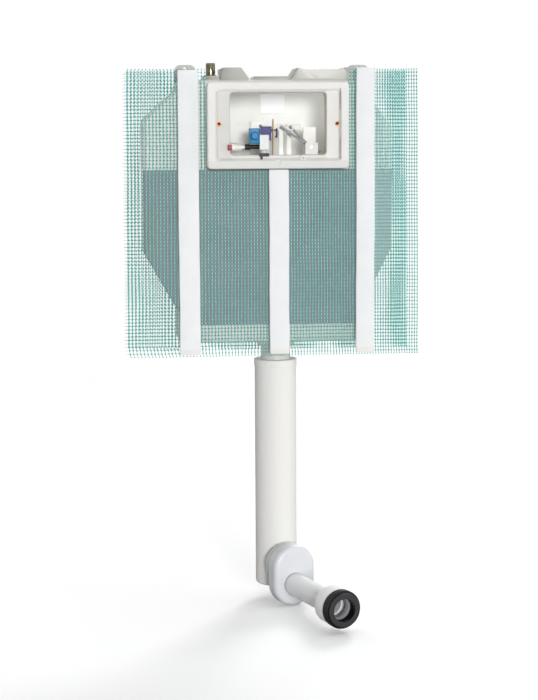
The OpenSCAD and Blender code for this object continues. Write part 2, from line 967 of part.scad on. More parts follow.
tank();
front_insulation();
front_net();
rear_net();
strip_left();
strip_centre();
strip_right();
access_frame();
plate_inserts();
edge_clip();
label_plate();
inlet_spigot();
inlet_washer();
inlet_locknut();
supply_tube();
tube_nuts();
stop_valve_body();
stop_valve_knob();
supply_hose();
hose_nut();
fill_valve_body();
fill_valve_head();
fill_holder();
holder_screws();
arm_pin();
float_arm();
arm_clip();
float_link();
float();
flush_valve_base();
base_gasket();
outlet_locknut();
flush_valve_cage();
overflow_tube();
flush_seal();
full_lift_rod();
half_lift_rod();
half_flush_float();
lever_bearing();
bearing_screws();
lever_pin();
full_flush_lever();
half_flush_lever();
neck_seal();
flush_pipe();
pipe_sleeve();
port_collar();
offset_coupling();
coupling_seals();
outlet_pipe();
pan_seal();
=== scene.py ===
import json
import math
import bpy
import bmesh
from mathutils import Matrix, Vector


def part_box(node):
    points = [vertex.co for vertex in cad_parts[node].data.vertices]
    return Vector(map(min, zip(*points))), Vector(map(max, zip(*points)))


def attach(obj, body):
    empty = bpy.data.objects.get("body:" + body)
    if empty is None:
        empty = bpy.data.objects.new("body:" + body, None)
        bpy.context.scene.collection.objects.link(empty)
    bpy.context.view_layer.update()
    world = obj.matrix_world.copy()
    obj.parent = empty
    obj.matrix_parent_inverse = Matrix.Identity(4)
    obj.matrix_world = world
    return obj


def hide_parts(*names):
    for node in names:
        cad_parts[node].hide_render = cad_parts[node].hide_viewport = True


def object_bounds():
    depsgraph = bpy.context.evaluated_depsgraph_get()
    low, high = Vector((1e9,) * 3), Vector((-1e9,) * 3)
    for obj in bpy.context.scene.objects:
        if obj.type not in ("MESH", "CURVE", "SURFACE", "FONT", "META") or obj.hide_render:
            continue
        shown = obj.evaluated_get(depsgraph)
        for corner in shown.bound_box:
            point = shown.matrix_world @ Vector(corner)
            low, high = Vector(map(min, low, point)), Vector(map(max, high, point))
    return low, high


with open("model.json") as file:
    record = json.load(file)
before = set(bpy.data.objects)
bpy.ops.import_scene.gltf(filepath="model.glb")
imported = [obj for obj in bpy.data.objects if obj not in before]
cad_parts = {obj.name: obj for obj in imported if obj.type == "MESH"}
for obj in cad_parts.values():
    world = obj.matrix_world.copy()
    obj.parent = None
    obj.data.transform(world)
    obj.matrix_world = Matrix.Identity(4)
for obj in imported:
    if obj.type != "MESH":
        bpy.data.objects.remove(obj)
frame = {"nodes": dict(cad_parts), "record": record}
cadLow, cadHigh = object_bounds()
nodes = frame["nodes"]
bodyOf = {n: b for b, names in frame["record"]["behaviour"]["bodies"].items() for n in names}
slotOf = {s["node"]: s["material_slot"] for s in frame["record"]["subparts"]}
mm = 0.001
sideways, depthways, upward = (1, 0, 0), (0, 1, 0), (0, 0, 1)
print("frame loaded:", len(nodes), "nodes")


def addObject(name, data):
    item = bpy.data.objects.new(name, data)
    bpy.context.scene.collection.objects.link(item)
    return item


# camera fitted to the photo, in the 538 x 700 frame
cameraSet = {
    "place": (-0.3303, -3.0801, -0.1013),
    "yaw": 6.008,
    "pitch": 7.294,
    "roll": -0.274,
    "focalPixels": 1745.0,
    "longSide": 700.0,
    "sensorWidth": 36,
    "nearClip": 0.05,
    "farClip": 60,
}


def makeCamera(values):
    yaw, pitch, roll = (math.radians(values[k]) for k in ("yaw", "pitch", "roll"))
    forward = Vector((math.sin(yaw) * math.cos(pitch), math.cos(yaw) * math.cos(pitch), -math.sin(pitch)))
    right = Vector((math.cos(yaw), -math.sin(yaw), 0))
    up = right.cross(forward)
    turnedRight = right * math.cos(roll) + up * math.sin(roll)
    turnedUp = up * math.cos(roll) - right * math.sin(roll)
    data = bpy.data.cameras.new("photoCamera")
    data.sensor_width = values["sensorWidth"]
    data.lens = values["focalPixels"] * values["sensorWidth"] / values["longSide"]
    data.clip_start = values["nearClip"]
    data.clip_end = values["farClip"]
    camera = addObject("photoCamera", data)
    turn = Matrix((turnedRight, turnedUp, -forward)).transposed().to_4x4()
    camera.matrix_world = Matrix.Translation(values["place"]) @ turn
    bpy.context.scene.camera = camera


makeCamera(cameraSet)
print("camera placed")


# colours are written as the eye reads them, 0 to 255
def paint(red, green, blue):
    linear = []
    for level in (red, green, blue):
        share = level / 255
        linear.append(share / 12.92 if share <= 0.04045 else ((share + 0.055) / 1.055) ** 2.4)
    return (*linear, 1.0)


def link(tree, fromSocket, toSocket):
    tree.links.new(fromSocket, toSocket)


# adds a node and gives one of its outputs; each feed is another node's output or a fixed value
def step(tree, kind, feeds, out=0, **settings):
    node = tree.nodes.new(kind)
    for key, value in settings.items():
        setattr(node, key, value)
    for key, value in feeds.items():
        if isinstance(value, bpy.types.NodeSocket):
            link(tree, value, node.inputs[key])
        else:
            node.inputs[key].default_value = value
    return node.outputs[out]


def calc(tree, operation, *terms):
    return step(tree, "ShaderNodeMath", dict(enumerate(terms)), operation=operation)


def plus(tree, first, second):
    return calc(tree, "ADD", first, second)


def minus(tree, first, second):
    return calc(tree, "SUBTRACT", first, second)


def times(tree, first, second):
    return calc(tree, "MULTIPLY", first, second)


def over(tree, first, second):
    return calc(tree, "DIVIDE", first, second)


def vectors(tree, operation, first, second):
    return step(tree, "ShaderNodeVectorMath", {0: first, 1: second}, operation=operation)


def colourMix(tree, share, first, second):
    return step(tree, "ShaderNodeMix", {"Factor": share, "A": first, "B": second}, "Result", data_type="RGBA")


def shaderGroup(name, inputs, output, kind):
    tree = bpy.data.node_groups.new(name, "ShaderNodeTree")
    for label, inputKind, value in inputs:
        socket = tree.interface.new_socket(label, in_out="INPUT", socket_type="NodeSocket" + inputKind)
        socket.default_value = value
    tree.interface.new_socket(output, in_out="OUTPUT", socket_type="NodeSocket" + kind)
    return tree, tree.nodes.new("NodeGroupInput").outputs, tree.nodes.new("NodeGroupOutput").inputs[output]


def ownPlace(tree):
    return tree.nodes.new("ShaderNodeTexCoord").outputs["Object"]


def noiseAt(tree, scale, detail):
    return step(tree, "ShaderNodeTexNoise", {
        "Vector": ownPlace(tree), "Scale": scale, "Detail": detail}, "Fac")


groupSet = {
    "mottleDetail": 5.0,
    "mottleLow": 0.35,
    "mottleHigh": 0.7,
    "scuffDetail": 8.0,
    "scuffMiddle": 0.5,
    "scuffFineness": 3,
    "grainDetail": 3.0,
}


# cloudy change between two near colours, as moulded plastic has
def makeMottle(values):
    tree, given, put = shaderGroup("surfaceMottle", [
        ("Colour", "Color", (1, 1, 1, 1)), ("Second", "Color", (0, 0, 0, 1)),
        ("Scale", "Float", 20.0), ("Amount", "Float", 0.5)], "Colour", "Color")
    noise = noiseAt(tree, given["Scale"], values["mottleDetail"])
    share = step(tree, "ShaderNodeMapRange", {
        "Value": noise, "From Min": values["mottleLow"], "From Max": values["mottleHigh"],
        "To Max": given["Amount"]})
    link(tree, colourMix(tree, share, given["Colour"], given["Second"]), put)
    return tree


# roughness that varies with handling
def makeScuffs(values):
    tree, given, put = shaderGroup("handlingScuffs", [
        ("Roughness", "Float", 0.4), ("Spread", "Float", 0.15), ("Scale", "Float", 60.0)],
        "Roughness", "Float")
    noise = noiseAt(tree, given["Scale"], values["scuffDetail"])
    centred = minus(tree, noise, values["scuffMiddle"])
    link(tree, calc(tree, "MULTIPLY_ADD", centred, given["Spread"], given["Roughness"]), put)
    return tree


# fine moulding grain as a height
def makeGrain(values):
    tree, given, put = shaderGroup("mouldGrain", [("Scale", "Float", 900.0)], "Height", "Float")
    link(tree, noiseAt(tree, given["Scale"], values["grainDetail"]), put)
    return tree


# closed foam cells as a height
def makeCells():
    tree, given, put = shaderGroup("foamCells", [("Scale", "Float", 500.0)], "Height", "Float")
    cells = step(tree, "ShaderNodeTexVoronoi", {
        "Vector": ownPlace(tree), "Scale": given["Scale"]}, "Distance", feature="SMOOTH_F1")
    link(tree, minus(tree, 1.0, cells), put)
    return tree


mottleGroup = makeMottle(groupSet)
scuffGroup = makeScuffs(groupSet)
grainGroup = makeGrain(groupSet)
cellGroup = makeCells()


def groupNode(tree, group, **values):
    node = tree.nodes.new("ShaderNodeGroup")
    node.node_tree = group
    for label, value in values.items():
        node.inputs[label].default_value = value
    return node.outputs[0]


# one finish: mottled colour, uneven gloss and a fine relief
def makeFinish(name, colour, second, rough, spread=0.15, metal=0.0, mottle=25.0, amount=0.5,
               grain=900.0, depth=0.00012, cells=None, specular=0.5):
    material = bpy.data.materials.new(name)
    material.use_nodes = True
    tree = material.node_tree
    shader = tree.nodes["Principled BSDF"]
    shader.inputs["Metallic"].default_value = metal
    shader.inputs["Specular IOR Level"].default_value = specular
    tint = groupNode(tree, mottleGroup, Colour=colour, Second=second, Scale=mottle, Amount=amount)
    link(tree, tint, shader.inputs["Base Color"])
    fine = mottle * groupSet["scuffFineness"]
    scuffs = groupNode(tree, scuffGroup, Roughness=rough, Spread=spread, Scale=fine)
    link(tree, scuffs, shader.inputs["Roughness"])
    relief = groupNode(tree, cellGroup if cells else grainGroup, Scale=cells if cells else grain)
    bump = step(tree, "ShaderNodeBump", {"Distance": depth, "Height": relief})
    link(tree, bump, shader.inputs["Normal"])
    return material


# each finish: its material, two near colours, its roughness and what differs from the usual values
finishSet = {
    "tank_shell": ("tankShell", (226, 226, 221), (205, 206, 201), 0.42, {"mottle": 14, "grain": 600}),
    "foam_dark": ("darkFoam", (138, 143, 146), (122, 128, 132), 0.8,
                  {"mottle": 22, "cells": 420, "depth": 0.0004, "specular": 0.25}),
    "net_green": ("netThread", (160, 240, 232), (122, 210, 203), 0.5,
                  {"mottle": 160, "amount": 0.9, "grain": 2600, "depth": 0.0002}),
    "foam_white": ("whiteFoam", (238, 239, 240), (229, 231, 233), 0.7,
                   {"mottle": 30, "cells": 520, "depth": 0.0002, "specular": 0.3}),
    "frame_white": ("frameMoulding", (218, 217, 213), (210, 208, 203), 0.4, {"mottle": 16}),
    "brass": ("turnedBrass", (136, 88, 56), (102, 60, 38), 0.3,
              {"metal": 1.0, "mottle": 140, "grain": 2000, "depth": 0.00005}),
    # the plated metal's colour is darkened, a painted reflection standing for dark surroundings that the
    # white stage lacks
    "plated": ("platedBrass", (126, 120, 102), (92, 84, 66), 0.14,
               {"metal": 1.0, "mottle": 120, "spread": 0.1, "grain": 2200, "depth": 0.00003}),
    "label": ("blankCard", (246, 246, 246), (238, 238, 238), 0.62,
              {"mottle": 60, "grain": 1800, "depth": 0.00006}),
    "rubber_black": ("blackRubber", (7, 7, 8), (12, 12, 13), 0.5,
                     {"mottle": 90, "grain": 1500, "depth": 0.0001, "specular": 0.25}),
    "red_plastic": ("redKnob", (146, 26, 18), (116, 16, 12), 0.34, {"mottle": 120, "specular": 0.3}),
    "hose_white": ("hoseWhite", (238, 238, 235), (226, 226, 222), 0.4, {"mottle": 80}),
    "black_plastic": ("blackMoulding", (9, 9, 10), (17, 17, 18), 0.42, {"mottle": 120, "specular": 0.3}),
    "pale_plastic": ("paleMoulding", (216, 219, 217), (206, 210, 208), 0.34, {"mottle": 60}),
    "blue_plastic": ("blueMoulding", (2, 122, 174), (12, 88, 154), 0.34, {"mottle": 70, "specular": 0.25}),
    "purple_plastic": ("purpleMoulding", (46, 46, 120), (34, 30, 98), 0.36, {"mottle": 70, "specular": 0.25}),
    "tan_plastic": ("tanMoulding", (196, 162, 116), (176, 142, 98), 0.45, {"mottle": 70}),
    "white_plastic": ("whiteMoulding", (218, 217, 212), (208, 207, 202), 0.34, {"mottle": 40}),
    "grey_plastic": ("greyMoulding", (104, 109, 112), (82, 87, 90), 0.36, {"mottle": 70}),
    "steel": ("plainSteel", (182, 182, 184), (150, 150, 152), 0.3,
              {"metal": 1.0, "mottle": 150, "grain": 2400, "depth": 0.00004}),
    "pipe_white": ("pipeMoulding", (222, 224, 227), (214, 216, 220), 0.3, {"mottle": 18}),
}
finishes = {}
for slotName, (name, colour, second, rough, others) in finishSet.items():
    finishes[slotName] = makeFinish(name, paint(*colour), paint(*second), rough, **others)


# lays another colour over a finish, by a share from 0 to 1
def layOver(material, share, colour):
    tree = material.node_tree
    base = tree.nodes["Principled BSDF"].inputs["Base Color"]
    link(tree, colourMix(tree, share, base.links[0].from_socket, colour), base)


# lays a colour where every test on the piece's own coordinates holds, with edges that fade
def tintWhere(material, colour, fade, tests):
    tree = material.node_tree
    place = ownPlace(tree)
    share = None
    for way, low, high in tests:
        along = step(tree, "ShaderNodeVectorMath", {0: place, 1: way}, "Value", operation="DOT_PRODUCT")
        for edge, half in ((low, fade / 2), (high, -fade / 2)):
            test = step(tree, "ShaderNodeMapRange", {
                "Value": along, "From Min": edge - half, "From Max": edge + half})
            share = test if share is None else times(tree, share, test)
    layOver(material, share, colour)


# warps carry the row number at each point, wefts this mark
weftMark = -1.0


# darkens the warps where the wefts pass and gives the wefts a grey of their own
def markRows(material, knot, weft):
    tree = material.node_tree
    row = tree.nodes.new("ShaderNodeAttribute")
    row.attribute_name = "rowPlace"
    turn = times(tree, row.outputs["Fac"], 2 * math.pi)
    layOver(material, calc(tree, "MAXIMUM", calc(tree, "COSINE", turn), 0.0), knot)
    layOver(material, calc(tree, "LESS_THAN", row.outputs["Fac"], weftMark / 2), weft)


outletSet = {
    "turn": 19,
    "pipeAxis": (0, -0.048, 0),
    "portHeight": -0.867,
    "outletHeight": -0.8965,
}
outletTurn = math.radians(outletSet["turn"])
outletWay = Vector((math.sin(outletTurn), -math.cos(outletTurn), 0))
portCentre = Vector(outletSet["pipeAxis"]) + Vector((0, 0, outletSet["portHeight"]))
outletCentre = Vector(outletSet["pipeAxis"]) + Vector((0, 0, outletSet["outletHeight"]))

# colours laid over parts of a finish, several of them painted light or painted shade: slot, colour, width of
# the fading edge in metres, and the tests, each a direction with the range along it in metres
crisp = 0.00004
tintSet = [
    # painted shade: the frame's step darkened, the step left of the window darker still and the lower rim
    # darkened; then the window's right wall tinted tan
    ("frame_white", (206, 204, 199), crisp,
     [(sideways, -0.08, 0.083), (depthways, -0.1125, -0.1092), (upward, -0.16, -0.039)]),
    ("frame_white", (198, 196, 191), crisp,
     [(sideways, -0.108, -0.08), (depthways, -0.1125, -0.1092), (upward, -0.16, -0.039)]),
    ("frame_white", (205, 206, 202), crisp, [(depthways, -0.12, -0.1125), (upward, -0.18, -0.1585)]),
    ("frame_white", (205, 184, 158), crisp, [(sideways, 0.08, 0.0826), (depthways, -0.1093, -0.08)]),
    # painted light: the upper slope of the frame's step and the frame's left side lightened where they stand
    # in shade
    ("frame_white", (255, 254, 250), crisp, [(depthways, -0.1158, -0.1112), (upward, -0.0416, -0.0376)]),
    ("frame_white", (255, 253, 248), crisp, [(sideways, -0.13, -0.1204)]),
    # along the outlet: the seal's face; the seal's bore in painted shade, the grey of the white pipe's bore
    # in shade; the outlet pipe lightened as painted light; and the port's collar darkened as painted shade
    ("rubber_black", (50, 50, 53), crisp, [(outletWay, 0.31066, 0.4)]),
    ("rubber_black", (190, 188, 192), crisp, [(outletWay, 0, 0.2914)]),
    ("pipe_white", (254, 254, 255), crisp, [(outletWay, 0.1259, 0.4)]),
    ("pipe_white", (202, 207, 205), crisp, [(outletWay, 0.06, 0.0969)]),
    # painted light on the tank's right side, which is lightened; painted shade on its top and lugs, which are
    # darkened
    ("tank_shell", (250, 252, 250), 0.04, [(sideways, 0.165, 0.3)]),
    ("tank_shell", (206, 205, 199), 0.012, [(upward, -0.03, 0.1)]),
    ("tank_shell", (172, 171, 170), 0.002, [(depthways, -0.015, 0.1), (upward, -0.018, 0.1)]),
    # the pipe's sleeve and the knob's hub; then painted light on the foam sheet past the right strip, which
    # is lightened
    ("foam_white", (234, 233, 230), crisp, [(upward, -1, -0.482)]),
    ("red_plastic", (232, 230, 224), crisp, [(sideways, -0.0795, 0)]),
    ("foam_dark", (176, 182, 184), 0.02, [(sideways, 0.151, 0.3)]),
]
for slotName, colour, fade, tests in tintSet:
    tintWhere(finishes[slotName], paint(*colour), fade, tests)
markRows(finishes["net_green"], paint(62, 130, 125), paint(142, 184, 182))
print("finishes made:", len(finishes))

for name, node in nodes.items():
    node.data.materials.clear()
    node.data.materials.append(finishes[slotOf[name]])


def addPiece(name, mesh, slotName, replaced):
    piece = addObject(name, mesh)
    if not mesh.materials:
        mesh.materials.append(finishes[slotName])
    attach(piece, bodyOf[replaced[0]])
    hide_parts(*replaced)
    return piece


def meshFrom(work, name):
    mesh = bpy.data.meshes.new(name)
    work.to_mesh(mesh)
    work.free()
    return mesh


def bakedMesh(holder):
    mesh = bpy.data.meshes.new_from_object(holder.evaluated_get(bpy.context.evaluated_depsgraph_get()))
    bpy.data.objects.remove(holder)
    return mesh


def applied(mesh, kind, **settings):
    holder = addObject("holder", mesh)
    modifier = holder.modifiers.new("finish", kind)
    for key, value in settings.items():
        setattr(modifier, key, value)
    return bakedMesh(holder)


def cutFrom(mesh, cutters):
    tool = addObject("cutter", cutters)
    result = applied(mesh, "BOOLEAN", operation="DIFFERENCE", object=tool, solver="EXACT")
    bpy.data.objects.remove(tool)
    return result


def smoothMesh(mesh, degrees):
    mesh.polygons.foreach_set("use_smooth", [True] * len(mesh.polygons))
    mesh.set_sharp_from_angle(angle=math.radians(degrees))


# flat faces keep flat shading beside their rounded edges
def evenNormals(mesh):
    return applied(mesh, "WEIGHTED_NORMAL", keep_sharp=True)


# angles in degrees, lengths in metres
copySet = {
    "mergeDistance": 0.000002,
    "flatAngle": 0.6,
    "bevelAngle": 32,
    "easedSmooth": 40,
    "plainSmooth": 34,
}


def mergedNode(nodeName):
    work = bmesh.new()
    work.from_mesh(nodes[nodeName].data)
    bmesh.ops.remove_doubles(work, verts=work.verts, dist=copySet["mergeDistance"])
    return work


def dressedCopy(nodeName, mesh, degrees):
    mesh.materials.clear()
    smoothMesh(mesh, degrees)
    return addPiece(nodeName + "Moulding", evenNormals(mesh), slotOf[nodeName], [nodeName])


# a copy of a CAD node with its sharp edges eased
def easedCopy(nodeName, width, segments=2):
    work = mergedNode(nodeName)
    bmesh.ops.dissolve_limit(work, angle_limit=math.radians(copySet["flatAngle"]), verts=work.verts,
                             edges=work.edges, delimit={"NORMAL"})
    least = math.radians(copySet["bevelAngle"])
    sharp = [e for e in work.edges if len(e.link_faces) == 2 and e.calc_face_angle(0) > least]
    if sharp:
        bmesh.ops.bevel(work, geom=sharp, offset=width, offset_type="OFFSET", segments=segments, profile=0.5,
                        affect="EDGES", clamp_overlap=False, loop_slide=True)
    bmesh.ops.triangulate(work, faces=[f for f in work.faces if len(f.verts) > 4])
    return dressedCopy(nodeName, meshFrom(work, nodeName + "Eased"), copySet["easedSmooth"])


# a merged copy of a CAD node, shaded smooth across its rounds
def plainCopy(nodeName, cutter=None):
    mesh = meshFrom(mergedNode(nodeName), nodeName + "Plain")
    mesh = cutFrom(mesh, cutter) if cutter else mesh
    return dressedCopy(nodeName, mesh, copySet["plainSmooth"])


# width of the eased edges, in millimetres
easedWidths = {
    "edge_clip": 0.5,
    "label_plate": 0.25,
    "fill_valve_body": 0.6,
    "fill_valve_head": 1.2,
    "fill_holder": 0.6,
    "float_arm": 0.5,
    "arm_clip": 0.4,
    "float_link": 0.3,
    "float": 0.8,
    "full_lift_rod": 0.5,
    "half_lift_rod": 0.5,
    "lever_bearing": 0.6,
    "full_flush_lever": 0.5,
    "half_flush_lever": 0.5,
    "stop_valve_body": 0.5,
    "stop_valve_knob": 0.7,
    "tube_nuts": 0.5,
    "inlet_locknut": 0.5,
    "hose_nut": 0.5,
    "flush_valve_cage": 0.8,
    "plate_inserts": 0.35,
    "port_collar": 1.2,
    "outlet_locknut": 0.8,
    "flush_valve_base": 0.8,
}
for nodeName, width in easedWidths.items():
    easedCopy(nodeName, width * mm)
easedCopy("front_insulation", 1.2 * mm, segments=4)
plainCopy("tank")
print("mouldings dressed:", len(easedWidths) + 2)


# geometry node trees: a tree with named inputs, steps that several trees share, and the baked mesh
def geometryTree(name, inputs):
    tree = bpy.data.node_groups.new(name, "GeometryNodeTree")
    tree.interface.new_socket("Geometry", in_out="INPUT", socket_type="NodeSocketGeometry")
    for label, kind in inputs:
        tree.interface.new_socket(label, in_out="INPUT", socket_type="NodeSocket" + kind)
    tree.interface.new_socket("Geometry", in_out="OUTPUT", socket_type="NodeSocketGeometry")
    return tree, tree.nodes.new("NodeGroupInput").outputs, tree.nodes.new("NodeGroupOutput").inputs[0]


def vectorOf(tree, x, y, z):
    return step(tree, "ShaderNodeCombineXYZ", {"X": x, "Y": y, "Z": z})


def allOf(tree, first, *others):
    for other in others:
        first = step(tree, "FunctionNodeBooleanMath", {0: first, 1: other}, operation="AND")
    return first


def larger(tree, first, second):
    return step(tree, "FunctionNodeCompare", {"A": first, "B": second}, data_type="FLOAT",
                operation="GREATER_THAN")


def joinedParts(tree, parts):
    node = tree.nodes.new("GeometryNodeJoinGeometry")
    for part in parts:
        link(tree, part, node.inputs[0])
    return node.outputs[0]


def movedBy(tree, part, offset):
    return step(tree, "GeometryNodeTransform", {"Geometry": part, "Translation": offset})


def tubeAlong(tree, curve, sides, radius):
    ring = step(tree, "GeometryNodeCurvePrimitiveCircle", {"Resolution": sides, "Radius": radius})
    return step(tree, "GeometryNodeCurveToMesh", {"Curve": curve, "Profile Curve": ring, "Fill Caps": True})


def helixOf(tree, steps, turns, radius, length):
    return step(tree, "GeometryNodeCurveSpiral", {
        "Resolution": steps, "Rotations": turns, "Start Radius": radius, "End Radius": radius,
        "Height": length})


def closeTree(tree, part, material, put):
    real = step(tree, "GeometryNodeRealizeInstances", {"Geometry": part})
    link(tree, step(tree, "GeometryNodeSetMaterial", {"Geometry": real, "Material": material}), put)
    return tree


def bakeTree(name, tree, values, start=None):
    holder = addObject(name + "Holder", start or bpy.data.meshes.new(name + "Start"))
    modifier = holder.modifiers.new("nodes", "NODES")
    modifier.node_group = tree
    for item in tree.interface.items_tree:
        if item.in_out == "INPUT" and item.name in values:
            modifier[item.identifier] = values[item.name]
    mesh = bakedMesh(holder)
    mesh.name = name
    return mesh


# how the threads of both nets wander, cross and lean, and how their lengths differ from the solid's box
weaveSet = {
    "waveScale": (13, 13, 13),
    "waveDepth": 0.12,
    "warpScale": (170, 0, 9),
    "warpWander": (0.0011, 0.0, 0.0),
    "weftScale": (9, 0, 170),
    "weftWander": (0.0, 0.0, 0.0009),
    "noiseMiddle": (0.5, 0.5, 0.5),
    "crossDepth": 0.45,
    "leanFrom": -0.02,
    "leanTo": 0.03,
    "leanLeast": 0.15,
    "threadSides": 4,
    "topLift": 0.001,
    "sideTrim": 0.0006,
    "extraLength": 0.004,
}


# a plaster net: warps of two strands that cross between the wefts
def makeNetTree(weave):
    tree, g, put = geometryTree("plasterNet", [
        ("Left", "Float"), ("Top", "Float"), ("Plane", "Float"), ("Width", "Float"), ("Height", "Float"),
        ("Columns", "Int"), ("Rows", "Int"), ("Tail", "Float"), ("Fringe", "Float"), ("Warp radius", "Float"),
        ("Weft radius", "Float"), ("Strand gap", "Float"), ("Waviness", "Float"), ("Cut left", "Float"),
        ("Cut right", "Float"), ("Cut floor", "Float"), ("Fringe left", "Float"), ("Fringe right", "Float"),
        ("Lean", "Float"), ("Uneven", "Float"), ("Flare", "Float"), ("Seed", "Float"),
        ("Material", "Material")])
    span = minus(tree, g["Width"], g["Tail"])
    lastColumn = minus(tree, g["Columns"], 1.0)
    columnPitch = over(tree, span, lastColumn)
    rowPitch = over(tree, g["Height"], minus(tree, g["Rows"], 1.0))
    downPitch = times(tree, rowPitch, -1.0)
    firstWarp = plus(tree, g["Left"], g["Tail"])
    firstWeft = minus(tree, g["Top"], rowPitch)
    weftStep = over(tree, g["Width"], lastColumn)
    weftCount = minus(tree, g["Rows"], 2.0)
    fringeTop = plus(tree, minus(tree, g["Top"], g["Height"]), g["Fringe"])

    def threadLines(count, offset, repeats, start, spacing):
        one = step(tree, "GeometryNodeMeshLine", {"Count": count, "Offset": offset}, mode="OFFSET")
        many = step(tree, "GeometryNodeMeshLine", {
            "Count": repeats, "Start Location": start, "Offset": spacing}, mode="OFFSET")
        placed = step(tree, "GeometryNodeInstanceOnPoints", {"Points": many, "Instance": one})
        return step(tree, "GeometryNodeRealizeInstances", {"Geometry": placed})

    place = step(tree, "GeometryNodeInputPosition", {})
    x = step(tree, "ShaderNodeSeparateXYZ", {0: place}, "X")
    z = step(tree, "ShaderNodeSeparateXYZ", {0: place}, "Z")

    def wander(stretch, amount):
        noise = step(tree, "ShaderNodeTexNoise", {
            "Vector": vectors(tree, "MULTIPLY", place, stretch), "W": g["Seed"], "Scale": 1.0, "Detail": 1.0},
            "Color", noise_dimensions="4D")
        return vectors(tree, "MULTIPLY", vectors(tree, "SUBTRACT", noise, weave["noiseMiddle"]), amount)

    # shift of the whole weave: uneven pitch, flare at the bottom and slow waves
    along = over(tree, minus(tree, x, firstWarp), span)
    hump = times(tree, along, minus(tree, 1.0, along))
    spread = times(tree, times(tree, span, g["Uneven"]), hump)
    drop = minus(tree, g["Top"], z)
    outward = minus(tree, times(tree, along, 2.0), 1.0)
    flare = times(tree, times(tree, outward, over(tree, drop, g["Height"])), g["Flare"])
    wave = g["Waviness"]
    waves = wander(weave["waveScale"], vectorOf(tree, wave, times(tree, wave, weave["waveDepth"]), wave))
    whole = vectors(tree, "ADD", waves, vectorOf(tree, plus(tree, spread, flare), 0.0, 0.0))

    # the strands' crossing, and the fringe's lean, which fades to the right
    row = over(tree, drop, rowPitch)
    swing = times(tree, calc(tree, "COSINE", times(tree, row, math.pi)), g["Strand gap"])
    hang = step(tree, "ShaderNodeMapRange", {
        "Value": z, "From Min": fringeTop, "From Max": minus(tree, fringeTop, g["Fringe"]),
        "To Min": 0.0, "To Max": 1.0})
    leftShare = step(tree, "ShaderNodeMapRange", {
        "Value": x, "From Min": plus(tree, g["Fringe left"], weave["leanFrom"]),
        "From Max": plus(tree, g["Fringe left"], weave["leanTo"]), "To Min": 1.0,
        "To Max": weave["leanLeast"]})
    lean = times(tree, times(tree, times(tree, hang, hang), g["Lean"]), leftShare)
    cut = allOf(tree, larger(tree, x, g["Cut left"]), larger(tree, g["Cut right"], x),
                larger(tree, z, g["Cut floor"]))
    bare = allOf(tree, larger(tree, x, g["Fringe left"]), larger(tree, g["Fringe right"], x),
                 larger(tree, fringeTop, z))

    def thread(lines, mark, offset, gone, radius):
        lines = step(tree, "GeometryNodeStoreNamedAttribute", {
            "Geometry": lines, "Name": "rowPlace", "Value": mark}, data_type="FLOAT", domain="POINT")
        lines = step(tree, "GeometryNodeSetPosition", {"Geometry": lines, "Offset": offset})
        for part in gone:
            lines = step(tree, "GeometryNodeDeleteGeometry", {"Geometry": lines, "Selection": part},
                         domain="POINT")
        curve = step(tree, "GeometryNodeMeshToCurve", {"Mesh": lines})
        return tubeAlong(tree, curve, weave["threadSides"], radius)

    warps = threadLines(g["Rows"], vectorOf(tree, 0.0, 0.0, downPitch), g["Columns"],
                        vectorOf(tree, firstWarp, g["Plane"], g["Top"]),
                        vectorOf(tree, columnPitch, 0.0, 0.0))
    wefts = threadLines(g["Columns"], vectorOf(tree, weftStep, 0.0, 0.0), weftCount,
                        vectorOf(tree, g["Left"], g["Plane"], firstWeft),
                        vectorOf(tree, 0.0, 0.0, downPitch))
    ownWarp = wander(weave["warpScale"], weave["warpWander"])
    ownWeft = wander(weave["weftScale"], weave["weftWander"])
    threads = []
    for side in (1.0, -1.0):
        crossing = vectorOf(tree, plus(tree, times(tree, swing, side), lean),
                            times(tree, swing, -weave["crossDepth"] * side), 0.0)
        offset = vectors(tree, "ADD", vectors(tree, "ADD", crossing, ownWarp), whole)
        threads.append(thread(warps, row, offset, [cut], g["Warp radius"]))
    weftOffset = vectors(tree, "ADD", ownWeft, whole)
    threads.append(thread(wefts, weftMark, weftOffset, [cut, bare], g["Weft radius"]))
    return closeTree(tree, joinedParts(tree, threads), g["Material"], put)


netSet = {
    "Columns": 95,
    "Uneven": 0.16,
    "Flare": 0.004,
    "Rows": 81,
    "Tail": 0.0055,
    "Fringe": 0.015,
    "Warp radius": 0.00057,
    "Weft radius": 0.0003,
    "Strand gap": 0.0006,
    "Waviness": 0.0026,
    "Fringe left": -0.135,
    "Fringe right": 0.135,
    "Lean": 0.003,
}
netTree = makeNetTree(weaveSet)


def makeNet(nodeName, seed, changes):
    low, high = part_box(nodeName)
    values = dict(netSet, Left=low.x, Top=high.z + weaveSet["topLift"], Plane=(low.y + high.y) / 2,
                  Width=high.x - low.x - weaveSet["sideTrim"],
                  Height=high.z - low.z + weaveSet["extraLength"], Seed=seed,
                  Material=finishes["net_green"])
    values.update(changes)
    mesh = bakeTree(nodeName + "Threads", netTree, values)
    mesh.polygons.foreach_set("use_smooth", [True] * len(mesh.polygons))
    piece = addPiece(nodeName + "Weave", mesh, "net_green", [nodeName])
    print(nodeName, "threads:", len(mesh.polygons), "faces")


# each net has a piece cut out at its top: the front one for the frame, the rear one behind the tank's top
frameLow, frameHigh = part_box("access_frame")
cutGap = 0.002
makeNet("front_net", 1.0, {
    "Cut left": frameLow.x - cutGap, "Cut right": frameHigh.x + cutGap, "Cut floor": frameLow.z - cutGap})
makeNet("rear_net", 7.3, {
    "Tail": 0.0065, "Width": 0.4966, "Fringe": 0.004, "Cut left": -0.135, "Cut right": 0.118,
    "Cut floor": -0.06})


# faces between each ring of points and the next
def bandFaces(work, rings):
    for ring, after in zip(rings, rings[1:]):
        for first in range(len(ring)):
            second = (first + 1) % len(ring)
            work.faces.new((ring[first], ring[second], after[second], after[first]))


